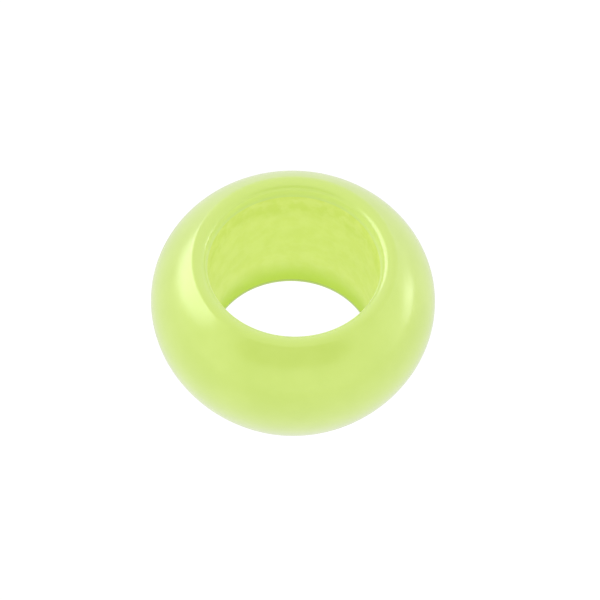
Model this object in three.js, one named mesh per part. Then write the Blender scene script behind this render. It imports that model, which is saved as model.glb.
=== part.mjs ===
import * as THREE from 'three';

// String vibration dampener: a soft glossy ring with a thin matte sleeve held in its bore.
// Millimetres. +Z runs along the bore, and the ring lies on its lower end face at z = 0.

const FACETS_ROUND = 72;
const CROWN_STEPS = 20;
const LIP_STEPS = 5;

// The whole ring. The crown is the convex outside, from the crest of one end face to that
// of the other. Its widest circle lies a little above mid-height, so it is fuller above.
const OUTER_RADIUS = 10;
const HEIGHT = 11.6;
const HALF_HEIGHT = HEIGHT / 2;
const CREST_RADIUS = 7;
const WIDEST_RISE = 0.75;

// The two mouths of the bore, which narrows a little downwards. Each has a rounded lip.
const TOP = { side: 1, boreRadius: 6.0, lipWidth: 0.75, lipDrop: 0.85 };
const BOTTOM = { side: -1, boreRadius: 5.82, lipWidth: 0.4, lipDrop: 0.4 };

// The lips run on down the bore as short skirts, and the sleeve sits between these,
// in a recess of the ring.
const LIP_SKIRT = 0.15;
const SLEEVE_OUTER_RADIUS = 6.7;
const SEAM_GAP = 0.05;
const RECESS_RADIUS = SLEEVE_OUTER_RADIUS + SEAM_GAP;

// A point of a profile, from its radius and its depth inside one end face.
function point(end, radius, depth) {
  return new THREE.Vector2(radius, HALF_HEIGHT + end.side * (HALF_HEIGHT - depth));
}

// The crown, from the lower crest up to the upper one.
function crownPoints() {
  const points = [];
  for (let i = 0; i <= CROWN_STEPS; i++) {
    const turn = (i / CROWN_STEPS - 0.5) * Math.PI;
    const bulge = Math.cos(turn) ** 2;
    const radius = CREST_RADIUS + (OUTER_RADIUS - CREST_RADIUS) * bulge;
    const height = HALF_HEIGHT * (1 + Math.sin(turn)) + WIDEST_RISE * bulge;
    points.push(new THREE.Vector2(radius, height));
  }
  return points;
}

// One end's rounded lip, a quarter ellipse from the end face down to the bore.
function lipPoints(end) {
  const points = [];
  for (let i = 0; i <= LIP_STEPS; i++) {
    const turn = (i / LIP_STEPS) * (Math.PI / 2);
    const radius = end.boreRadius + end.lipWidth * (1 - Math.sin(turn));
    points.push(point(end, radius, end.lipDrop * (1 - Math.cos(turn))));
  }
  return points;
}

// One end's lip and skirt, and the shelf behind them that the sleeve's end sits against.
function mouthPoints(end) {
  const shelfDepth = end.lipDrop + LIP_SKIRT;
  const skirt = point(end, end.boreRadius, shelfDepth);
  return [...lipPoints(end), skirt, point(end, RECESS_RADIUS, shelfDepth)];
}

// One end of the sleeve, from its bore to its outside.
function sleeveEndPoints(end) {
  const depth = end.lipDrop + LIP_SKIRT + SEAM_GAP;
  return [point(end, end.boreRadius, depth), point(end, SLEEVE_OUTER_RADIUS, depth)];
}

// A solid of revolution about Z. The profile runs up its outside and down its inside.
function revolved(name, profile, material) {
  const geometry = new THREE.LatheGeometry([...profile, profile[0].clone()], FACETS_ROUND);
  geometry.rotateX(Math.PI / 2);
  const mesh = new THREE.Mesh(geometry, material);
  mesh.name = name;
  return mesh;
}

function outerRing() {
  const profile = [...crownPoints(), ...mouthPoints(TOP), ...mouthPoints(BOTTOM).reverse()];
  const softGloss = new THREE.MeshStandardMaterial({
    color: 0xd0eb80,
    roughness: 0.25,
    metalness: 0,
  });
  return revolved('outer_ring', profile, softGloss);
}

function boreSleeve() {
  const profile = [...sleeveEndPoints(BOTTOM), ...sleeveEndPoints(TOP).reverse()];
  const matteLining = new THREE.MeshStandardMaterial({
    color: 0xd3e777,
    roughness: 0.65,
    metalness: 0,
  });
  return revolved('bore_sleeve', profile, matteLining);
}

const dampener = new THREE.Group();
dampener.add(outerRing());
dampener.add(boreSleeve());

export default dampener;
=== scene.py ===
"""The looks of a ring-shaped string dampener: a glossy, slightly translucent lime green ring
with a thin matte sleeve in its bore, on a white table in soft studio light.

Lengths are in metres, and profiles are worked out in the ring's own axes, +Z up its bore.
"""

import math

import bmesh
import bpy
from mathutils import Matrix, Vector


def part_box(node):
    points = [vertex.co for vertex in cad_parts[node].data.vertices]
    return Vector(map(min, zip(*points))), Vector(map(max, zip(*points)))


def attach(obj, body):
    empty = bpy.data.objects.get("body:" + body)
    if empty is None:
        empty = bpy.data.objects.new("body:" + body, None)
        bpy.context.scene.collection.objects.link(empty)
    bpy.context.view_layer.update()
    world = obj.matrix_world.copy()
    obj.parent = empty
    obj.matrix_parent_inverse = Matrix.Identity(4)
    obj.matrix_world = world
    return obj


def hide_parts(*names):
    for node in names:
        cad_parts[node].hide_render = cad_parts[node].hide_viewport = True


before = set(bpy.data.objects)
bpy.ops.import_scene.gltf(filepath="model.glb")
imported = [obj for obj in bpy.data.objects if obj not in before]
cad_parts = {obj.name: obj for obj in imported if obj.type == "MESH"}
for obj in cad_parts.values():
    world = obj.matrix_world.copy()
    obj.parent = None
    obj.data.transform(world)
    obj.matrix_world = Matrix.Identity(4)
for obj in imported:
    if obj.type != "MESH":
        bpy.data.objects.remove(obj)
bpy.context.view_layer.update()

MM = 0.001

# ---------------------------------------------------------------- sizes, from the frame
ring_low, ring_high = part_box("outer_ring")
sleeve_low, sleeve_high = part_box("bore_sleeve")
OUTER_RADIUS = ring_high.x
HEIGHT = ring_high.z - ring_low.z
MIDDLE = (ring_high.z + ring_low.z) / 2
HALF_HEIGHT = HEIGHT / 2
SLEEVE_OUTER_RADIUS = sleeve_high.x

# The section's own sizes, which repeat those of the CAD part. Only the crest is new: it is
# how far the rounding of each end's crest reaches to either side.
CREST_RADIUS = 7.0 * MM
WIDEST_RISE = 0.75 * MM
TOP = {
    "side": 1, "bore": 6.0 * MM, "lip_width": 0.75 * MM, "lip_drop": 0.85 * MM, "crest": 0.24 * MM
}
BOTTOM = {
    "side": -1, "bore": 5.82 * MM, "lip_width": 0.4 * MM, "lip_drop": 0.4 * MM, "crest": 0.5 * MM
}
LIP_SKIRT = 0.15 * MM

# The soft ring closes on the sleeve, so only a hair's gap is left between the two.
SEAM_GAP = 0.001 * MM

STEPS_ROUND = 288
SHARP_EDGE = math.radians(40)


# ---------------------------------------------------------------- sections
def level(end, depth=0.0):
    """The height of a level that lies a depth inside one end face."""
    return MIDDLE + end["side"] * (HALF_HEIGHT - depth)


def crown_section(steps=120):
    """The crown's points as (radius, height), from the lower crest to the upper one."""
    points = []
    for i in range(steps + 1):
        turn = (i / steps - 0.5) * math.pi
        bulge = math.cos(turn) ** 2
        radius = CREST_RADIUS + (OUTER_RADIUS - CREST_RADIUS) * bulge
        points.append((radius, MIDDLE + HALF_HEIGHT * math.sin(turn) + WIDEST_RISE * bulge))
    return points


def rounded(before, after, width, steps=8):
    """Two runs of points that meet at a corner, joined by a curve that starts a width from it."""
    corner = Vector(before[-1])
    kept = [p for p in before if (Vector(p) - corner).length > width]
    rest = [p for p in after if (Vector(p) - corner).length > width]
    start = corner + (Vector(kept[-1]) - corner).normalized() * width
    end = corner + (Vector(rest[0]) - corner).normalized() * width
    curve = []
    for i in range(steps + 1):
        t = i / steps
        curve.append(tuple(start * (1 - t) ** 2 + corner * 2 * t * (1 - t) + end * t**2))
    return kept + curve + rest


def mouth_section(end, steps=20):
    """One end's rounded lip, from the end face down to the bore, its skirt and its shelf."""
    points = []
    for i in range(steps + 1):
        turn = i / steps * math.pi / 2
        radius = end["bore"] + end["lip_width"] * (1 - math.sin(turn))
        points.append((radius, level(end, end["lip_drop"] * (1 - math.cos(turn)))))
    shelf = level(end, end["lip_drop"] + LIP_SKIRT)
    return points + [(end["bore"], shelf), (SLEEVE_OUTER_RADIUS + SEAM_GAP, shelf)]


def ring_outline():
    """The ring, from its lower shelf round its outside to its upper shelf."""
    low_end = mouth_section(BOTTOM)[::-1]
    lower = rounded(low_end + [(CREST_RADIUS, level(BOTTOM))], crown_section()[1:], BOTTOM["crest"])
    return rounded(lower, mouth_section(TOP), TOP["crest"])


def sleeve_outline(steps=24):
    """The sleeve, up its outside and down the bore's wall."""
    ends = [level(end, end["lip_drop"] + LIP_SKIRT + SEAM_GAP) for end in (BOTTOM, TOP)]
    outside = [(SLEEVE_OUTER_RADIUS, z) for z in ends]
    wall = []
    for i in range(steps + 1):
        share = i / steps
        radius = TOP["bore"] + (BOTTOM["bore"] - TOP["bore"]) * share
        wall.append((radius, ends[1] + (ends[0] - ends[1]) * share))
    return outside + wall


def revolved(name, outline):
    """A closed solid of revolution, smooth but for the corners of its outline."""
    mesh = bpy.data.meshes.new(name)
    form = bmesh.new()
    turns = [2 * math.pi * i / STEPS_ROUND for i in range(STEPS_ROUND)]
    circles = [
        [form.verts.new((radius * math.cos(a), radius * math.sin(a), height)) for a in turns]
        for radius, height in outline
    ]
    for here, there in zip(circles, circles[1:] + circles[:1]):
        for i in range(STEPS_ROUND):
            j = (i + 1) % STEPS_ROUND
            form.faces.new((here[i], here[j], there[j], there[i]))
    bmesh.ops.recalc_face_normals(form, faces=form.faces)
    for face in form.faces:
        face.smooth = True
    for edge in form.edges:
        edge.smooth = edge.calc_face_angle(0) < SHARP_EDGE
    form.to_mesh(mesh)
    form.free()
    piece = bpy.data.objects.new(name, mesh)
    bpy.context.scene.collection.objects.link(piece)
    return piece


# ---------------------------------------------------------------- materials
def linear(red, green, blue):
    """A display colour, 0 to 255, as Blender's linear colour."""
    def channel(value):
        value /= 255
        return value / 12.92 if value <= 0.04045 else ((value + 0.055) / 1.055) ** 2.4
    return (channel(red), channel(green), channel(blue), 1.0)


class Nodes:
    """A node tree of a material or of the world, with short ways to add and join nodes."""

    def __init__(self, owner):
        owner.use_nodes = True
        self.tree = owner.node_tree

    def add(self, kind, **settings):
        node = self.tree.nodes.new(kind)
        for key, value in settings.items():
            if key in node.inputs.keys():
                node.inputs[key].default_value = value
            else:
                setattr(node, key, value)
        return node

    def join(self, out, into):
        self.tree.links.new(out, into)

    def place(self):
        """Where the point lies in the ring's own axes."""
        return self.add("ShaderNodeTexCoord").outputs["Object"]

    def height(self):
        """How high the point lies above the lower end face."""
        split = self.add("ShaderNodeSeparateXYZ")
        self.join(self.place(), split.inputs[0])
        return split.outputs["Z"]

    def axis_distance(self):
        """How far the point lies from the bore's axis."""
        flat = self.add("ShaderNodeVectorMath", operation="MULTIPLY")
        self.join(self.place(), flat.inputs[0])
        flat.inputs[1].default_value = (1, 1, 0)
        length = self.add("ShaderNodeVectorMath", operation="LENGTH")
        self.join(flat.outputs["Vector"], length.inputs[0])
        return length.outputs["Value"]

    def noise(self, size, detail=3.0, roughness=0.55):
        """A cloudy pattern whose blotches are about size metres across, from 0 to 1."""
        node = self.add("ShaderNodeTexNoise", Scale=1 / size, Detail=detail, Roughness=roughness)
        self.join(self.place(), node.inputs["Vector"])
        return node.outputs["Fac"]

    def spread(self, value, low, high, to_low=0.0, to_high=1.0, smooth=False):
        """The value's range from low to high, moved to the range to_low to to_high."""
        kind = "SMOOTHSTEP" if smooth else "LINEAR"
        node = self.add("ShaderNodeMapRange", interpolation_type=kind)
        names = ("From Min", "From Max", "To Min", "To Max")
        for name, number in zip(names, (low, high, to_low, to_high)):
            node.inputs[name].default_value = number
        self.join(value, node.inputs["Value"])
        return node.outputs["Result"]

    def fade(self, value, span):
        """How far the value has come along a span, smoothly from 0 to 1."""
        return self.spread(value, *span, smooth=True)

    def calculate(self, operation, first, second):
        """One step of arithmetic on two sockets or numbers."""
        node = self.add("ShaderNodeMath", operation=operation)
        for socket, value in zip(node.inputs, (first, second)):
            if isinstance(value, (int, float)):
                socket.default_value = value
            else:
                self.join(value, socket)
        return node.outputs[0]

    def mix(self, factor, first, second):
        """The first colour where the factor is 0, and the second where it is 1."""
        node = self.add("ShaderNodeMix", data_type="RGBA")
        self.join(factor, node.inputs[0])
        for socket, colour in ((node.inputs[6], first), (node.inputs[7], second)):
            if isinstance(colour, tuple):
                socket.default_value = colour
            else:
                self.join(colour, socket)
        return node.outputs[2]

    def choose(self, ray, otherwise, then):
        """One shader for a kind of ray, and another for the rest."""
        node = self.add("ShaderNodeMixShader")
        self.join(self.add("ShaderNodeLightPath").outputs[ray], node.inputs["Fac"])
        self.join(otherwise, node.inputs[1])
        self.join(then, node.inputs[2])
        return node.outputs["Shader"]


# The ring's colours.
BODY = linear(199, 224, 98)
CLOUD = linear(204, 228, 106)
# Painted light: the upper lip is paler, standing in for its highlight and lifting its shade.
UPPER_LIP_PAINTED_LIGHT = linear(205, 229, 110)
# Painted light: paler still where the lip turns into the bore, lifting the shade there.
UPPER_EDGE_PAINTED_LIGHT = linear(212, 233, 118)
# Painted shade: the lower lip is darker, as in the shade by the table.
LOWER_LIP_PAINTED_SHADE = linear(180, 204, 72)

# The sleeve's colours, painted paler than the material's own to stand in for light that comes
# through the ring into the bore. The bottom one is painted shade by the lower mouth.
WALL_PAINTED_LIGHT = linear(233, 245, 146)
WALL_BLOTCH = linear(238, 249, 159)
WALL_TOP = linear(223, 238, 127)
# Painted shade: the wall deepens towards the lower mouth.
WALL_BOTTOM_PAINTED_SHADE = linear(202, 228, 80)

# Where one look fades into another, from where the change starts to where it is complete.
# The first two are distances from the bore's axis, and the others are heights.
LIP_REACH = (CREST_RADIUS + 0.2 * MM, CREST_RADIUS - 0.4 * MM)
EDGE_REACH = (TOP["bore"] + 0.3 * MM, TOP["bore"] + 0.02 * MM)
UPPER_HALF = (ring_high.z - 5.6 * MM, ring_high.z - 2.6 * MM)
LOWER_HALF = (ring_low.z + 4 * MM, ring_low.z + 1 * MM)
TOP_OF_WALL = (ring_high.z - 4 * MM, ring_high.z - 2 * MM)
FOOT_OF_WALL = (ring_low.z + 3.4 * MM, ring_low.z + 0.5 * MM)

EDGE_ROUGHNESS = 0.5


def material(name):
    """A new material, its nodes, and the inputs of its shader."""
    made = bpy.data.materials.new(name)
    nodes = Nodes(made)
    return made, nodes, nodes.tree.nodes["Principled BSDF"].inputs


def grain(n, shader, pattern, strength, depth):
    """A fine unevenness of the surface."""
    bump = n.add("ShaderNodeBump", Strength=strength, Distance=depth)
    n.join(pattern, bump.inputs["Height"])
    n.join(bump.outputs["Normal"], shader["Normal"])


def soft_gloss():
    """Glossy elastomer, a little cloudy, with painted light paling the upper lip and painted shade
    deepening the lower one.

    Where the upper lip turns down into the bore, it takes on a paler colour near the sleeve's,
    painted light that lifts the shade there, and the sleeve's matte finish.
    """
    made, n, shader = material("soft_gloss")
    inside = n.fade(n.axis_distance(), LIP_REACH)
    upper_half = n.fade(n.height(), UPPER_HALF)
    painted_lip_light = n.calculate("MULTIPLY", inside, upper_half)
    matte_edge_and_painted_light = n.calculate("MULTIPLY", n.fade(n.axis_distance(), EDGE_REACH), upper_half)
    painted_lower_lip_shade = n.calculate("MULTIPLY", inside, n.fade(n.height(), LOWER_HALF))

    colour = n.mix(n.spread(n.noise(3.5 * MM), 0.35, 0.65), BODY, CLOUD)
    # The upper lip's shades are painted light, and the lower lip's is painted shade.
    for where, shade in ((painted_lip_light, UPPER_LIP_PAINTED_LIGHT), (matte_edge_and_painted_light, UPPER_EDGE_PAINTED_LIGHT), (painted_lower_lip_shade, LOWER_LIP_PAINTED_SHADE)):
        colour = n.mix(where, colour, shade)
    n.join(colour, shader["Base Color"])

    gloss = n.spread(n.noise(0.8 * MM, detail=5), 0.3, 0.7, 0.16, 0.22)
    matte = n.calculate("MULTIPLY", matte_edge_and_painted_light, EDGE_ROUGHNESS)
    n.join(n.calculate("MAXIMUM", gloss, matte), shader["Roughness"])
    grain(n, shader, n.noise(0.35 * MM, detail=2), strength=0.06, depth=0.02 * MM)
    shader["Subsurface Weight"].default_value = 0.03
    shader["Subsurface Radius"].default_value = (1.0, 1.0, 0.45)
    shader["Subsurface Scale"].default_value = 0.6 * MM
    shader["IOR"].default_value = 1.52
    shader["Sheen Weight"].default_value = 0.5
    shader["Sheen Roughness"].default_value = 0.6
    return made


def matte_lining():
    """Matte elastomer, painted paler than its own colour for the light that comes through the ring,
    mottled below the upper mouth, and darkened by painted shade by the lower mouth.
    """
    made, n, shader = material("matte_lining")
    patches = n.spread(n.noise(0.9 * MM, detail=3), 0.4, 0.62, 0.45, 1.2)
    mottle = n.calculate("MULTIPLY", n.fade(n.height(), TOP_OF_WALL), patches)

    # The wall's colour is painted paler to stand in for light that comes through the ring.
    colour = n.mix(n.spread(n.noise(1.1 * MM, detail=4), 0.38, 0.62), WALL_PAINTED_LIGHT, WALL_BLOTCH)
    # Painted shade: deeper towards the lower mouth.
    colour = n.mix(n.fade(n.height(), FOOT_OF_WALL), colour, WALL_BOTTOM_PAINTED_SHADE)
    colour = n.mix(mottle, colour, WALL_TOP)
    n.join(colour, shader["Base Color"])

    n.join(n.spread(n.noise(0.5 * MM, detail=4), 0.3, 0.7, 0.5, 0.64), shader["Roughness"])
    grain(n, shader, n.noise(0.25 * MM, detail=4), strength=0.25, depth=0.03 * MM)
    shader["Subsurface Weight"].default_value = 0.03
    shader["Subsurface Radius"].default_value = (1.0, 1.0, 0.4)
    shader["Subsurface Scale"].default_value = 0.4 * MM
    shader["IOR"].default_value = 1.4
    return made


# ---------------------------------------------------------------- the object
def make_object():
    """The two pieces, each in place of its CAD node."""
    ring = revolved("glossy_ring", ring_outline())
    ring.data.materials.append(soft_gloss())
    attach(ring, "root")
    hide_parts("outer_ring")

    sleeve = revolved("matte_sleeve", sleeve_outline())
    sleeve.data.materials.append(matte_lining())
    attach(sleeve, "root")
    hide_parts("bore_sleeve")


# ---------------------------------------------------------------- camera
VIEW_ELEVATION = math.radians(56.4)
VIEW_ROLL = 0.031  # radians
VIEW_DISTANCE = 20 * OUTER_RADIUS
VIEW_AIM = Vector((0.049 * OUTER_RADIUS, 0, MIDDLE + 0.073 * OUTER_RADIUS))
FOCAL_LENGTH_MM = 169.86
SENSOR_MM = 36


def make_camera():
    """A camera in front of the ring and above it, with a long lens."""
    data = bpy.data.cameras.new("camera")
    data.sensor_width = SENSOR_MM
    data.lens = FOCAL_LENGTH_MM
    data.clip_start = 0.005
    data.clip_end = 50
    camera = bpy.data.objects.new("camera", data)
    bpy.context.scene.collection.objects.link(camera)
    direction = Vector((0, -math.cos(VIEW_ELEVATION), math.sin(VIEW_ELEVATION)))
    place = Vector((0, 0, MIDDLE)) + VIEW_DISTANCE * direction
    turn = (VIEW_AIM - place).to_track_quat("-Z", "Y").to_matrix().to_4x4()
    camera.matrix_world = Matrix.Translation(place) @ turn @ Matrix.Rotation(VIEW_ROLL, 4, "Z")
    bpy.context.scene.camera = camera


# ---------------------------------------------------------------- studio
# Brightnesses are radiances, with paper white at 1. The gloss mirrors a white tent with a soft
# window on each side, a small bright spot in the right one, and a dark place in front, where
# the photographer stands. Their angles are in degrees.
ROOM_LIGHT = 1.0
TABLE_LIGHT = 1.06
TABLE_GLARE = 0.7
TENT_LIGHT = 1.15
DARK_LIGHT = 0.05
WINDOWS = [
    {"azimuth": 157, "elevation": 24, "half_width": 34, "half_height": 17, "roll": 22,
     "softness": 0.28, "brightness": 4.4},
    {"azimuth": 20, "elevation": 8, "half_width": 50, "half_height": 28, "roll": 0,
     "softness": 0.4, "brightness": 0.2},
    {"azimuth": 17, "elevation": 3, "half_width": 12, "half_height": 8, "roll": 0,
     "softness": 0.6, "brightness": 3.7},
]
DARK_PLACE = {"azimuth": -90, "elevation": 45, "half_width": 46, "half_height": 14, "roll": 0,
              "softness": 0.15}
FILLS = [
    {"name": "left_fill", "azimuth": 170, "elevation": 9, "brightness": 1.2},
    {"name": "right_fill", "azimuth": 10, "elevation": 9, "brightness": 0.4},
]
PATCH_DEPTH = 0.5  # keeps the far side of the surroundings out of a patch
FILL_DISTANCE = 0.6
FILL_WIDTH = 0.5
FILL_HEIGHT = 0.16
TABLE_RADIUS = 4
TABLE_DROP = 0.01 * MM

# Light crosses the pale bore many times before it leaves.
BOUNCES = 24


def direction_to(azimuth, elevation):
    """The direction at an azimuth from +X and an elevation, both in degrees."""
    a, e = math.radians(azimuth), math.radians(elevation)
    return Vector((math.cos(e) * math.cos(a), math.cos(e) * math.sin(a), math.sin(e)))


def make_table():
    """A light table just under the ring, which lights it from below and takes no shadow."""
    mesh = bpy.data.meshes.new("table")
    form = bmesh.new()
    bmesh.ops.create_circle(form, cap_ends=True, segments=64, radius=TABLE_RADIUS)
    form.to_mesh(mesh)
    form.free()
    table = bpy.data.objects.new("table", mesh)
    bpy.context.scene.collection.objects.link(table)
    made, n, _ = material("light_table")
    n.tree.nodes.remove(n.tree.nodes["Principled BSDF"])
    lit = n.add("ShaderNodeEmission", Strength=TABLE_LIGHT).outputs["Emission"]
    glare = n.add("ShaderNodeEmission", Strength=TABLE_GLARE).outputs["Emission"]
    seen = n.choose("Is Glossy Ray", lit, glare)
    n.join(seen, n.tree.nodes["Material Output"].inputs["Surface"])
    mesh.materials.append(made)
    table.location.z = ring_low.z - TABLE_DROP


def patch(n, where, inside, outside):
    """A value that is inside in a soft oval patch of the surroundings, and outside elsewhere."""
    centre = direction_to(where["azimuth"], where["elevation"])
    facing = centre.to_track_quat("Z", "Y").to_matrix().to_4x4()
    turned = facing @ Matrix.Rotation(math.radians(where["roll"]), 4, "Z")
    local = n.add("ShaderNodeMapping", vector_type="TEXTURE")
    n.join(n.add("ShaderNodeTexCoord").outputs["Generated"], local.inputs["Vector"])
    local.inputs["Location"].default_value = centre
    local.inputs["Rotation"].default_value = turned.to_euler()
    reach = [math.sin(math.radians(where[key])) for key in ("half_width", "half_height")]
    local.inputs["Scale"].default_value = (*reach, PATCH_DEPTH)
    length = n.add("ShaderNodeVectorMath", operation="LENGTH")
    n.join(local.outputs["Vector"], length.inputs[0])
    blur = where["softness"]
    return n.spread(length.outputs["Value"], 1 - blur, 1 + blur, inside, outside, smooth=True)


def make_world():
    """A white room for the ring's colour, the tent for its gloss, and white paper behind it."""
    world = bpy.data.worlds.new("studio")
    bpy.context.scene.world = world
    n = Nodes(world)
    n.tree.nodes.clear()
    light = TENT_LIGHT
    for window in WINDOWS:
        light = n.calculate("ADD", light, patch(n, window, window["brightness"], 0))
    light = n.calculate("MULTIPLY", light, patch(n, DARK_PLACE, DARK_LIGHT, 1))
    mirrored = n.add("ShaderNodeBackground")
    n.join(light, mirrored.inputs["Strength"])
    room = n.add("ShaderNodeBackground", Strength=ROOM_LIGHT)
    backdrop = n.add("ShaderNodeBackground", Strength=1.0)
    for shader in (mirrored, room, backdrop):
        shader.inputs["Color"].default_value = (1, 1, 1, 1)
    lighting = n.choose("Is Glossy Ray", room.outputs["Background"], mirrored.outputs["Background"])
    seen = n.choose("Is Camera Ray", lighting, backdrop.outputs["Background"])
    n.join(seen, n.add("ShaderNodeOutputWorld").inputs["Surface"])


def make_fills():
    """Soft lights from the sides, which brighten the ring but don't show in its gloss."""
    for fill in FILLS:
        data = bpy.data.lights.new(fill["name"], "AREA")
        data.shape = "RECTANGLE"
        data.size = FILL_WIDTH
        data.size_y = FILL_HEIGHT
        data.energy = fill["brightness"] * math.pi * FILL_WIDTH * FILL_HEIGHT
        light = bpy.data.objects.new(fill["name"], data)
        bpy.context.scene.collection.objects.link(light)
        direction = direction_to(fill["azimuth"], fill["elevation"])
        place = Vector((0, 0, MIDDLE)) + FILL_DISTANCE * direction
        facing = (-direction).to_track_quat("-Z", "Y").to_matrix().to_4x4()
        light.matrix_world = Matrix.Translation(place) @ facing
        light.visible_glossy = False


scene = bpy.context.scene
scene.view_settings.view_transform = "Standard"
scene.cycles.max_bounces = BOUNCES
scene.cycles.diffuse_bounces = BOUNCES
make_object()
make_camera()
make_table()
make_world()
make_fills()
